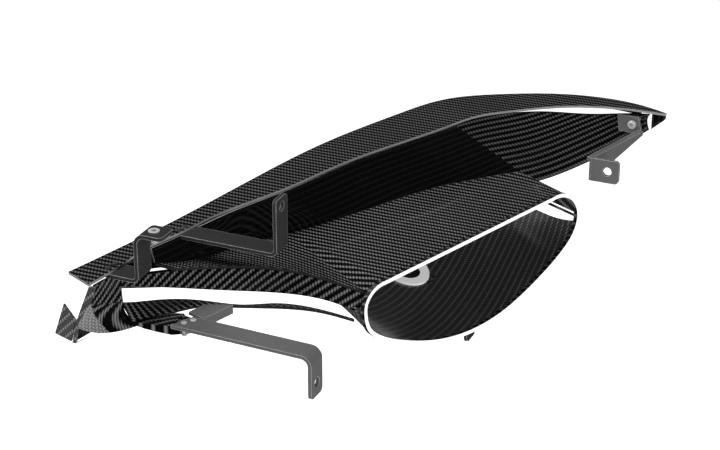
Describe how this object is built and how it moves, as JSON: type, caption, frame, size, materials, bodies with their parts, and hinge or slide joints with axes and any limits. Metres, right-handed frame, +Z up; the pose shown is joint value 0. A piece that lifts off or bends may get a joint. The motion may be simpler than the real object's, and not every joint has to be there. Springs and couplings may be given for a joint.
{
  "type": "corner wing element with intake scoop",
  "caption": "Curved carbon-laminate corner wing element with a D-mouth intake scoop, hanging skirt and bent flat-bar brackets.",
  "frame": {"origin": "centre of the bolt hole in the lower left bracket, half way through its plate", "axes": "+Z up; X across the vehicle, from the near end to the far tip; -Y out of the scoop's mouth, towards the vehicle's brackets"},
  "size_m": [0.527, 0.334, 0.2095],
  "materials": {
    "carbon_twill": "clear-coated carbon twill",
    "gloss_laminate": "gloss",
    "moulded_edge": "polished resin edge",
    "bracket_metal": "satin",
    "fastener_metal": "bright",
    "duct_plastic": "satin"
  },
  "bodies": {
    "root": {"boss_rivets": "fastener_metal", "bracket_lower_left": "bracket_metal", "bracket_lower_right": "bracket_metal", "bracket_tip": "bracket_metal", "bracket_upper_inner": "bracket_metal", "bracket_upper_left": "bracket_metal", "corner_gusset": "gloss_laminate", "cove": "carbon_twill", "cross_bar": "bracket_metal", "deck": "carbon_twill", "end_plate": "carbon_twill", "end_web": "carbon_twill", "floor_rivets": "fastener_metal", "hood_wall": "gloss_laminate", "lip_return": "carbon_twill", "lip_rivets": "fastener_metal", "lower_blade": "carbon_twill", "lower_edge_bead": "moulded_edge", "mounting_boss": "carbon_twill", "mouth_corner_plate": "carbon_twill", "mouth_corner_strip": "carbon_twill", "mouth_rim": "moulded_edge", "outer_skin": "carbon_twill", "outlet_ring": "duct_plastic", "outlet_spigot": "duct_plastic", "rear_fin": "carbon_twill", "scoop_floor": "carbon_twill", "shoulder": "carbon_twill", "tab_rivet_nut": "fastener_metal", "tip_cap": "carbon_twill", "tip_nut": "fastener_metal", "tip_packer": "bracket_metal", "tip_screw": "fastener_metal", "upper_lip": "carbon_twill"}
  },
  "joints": []
}
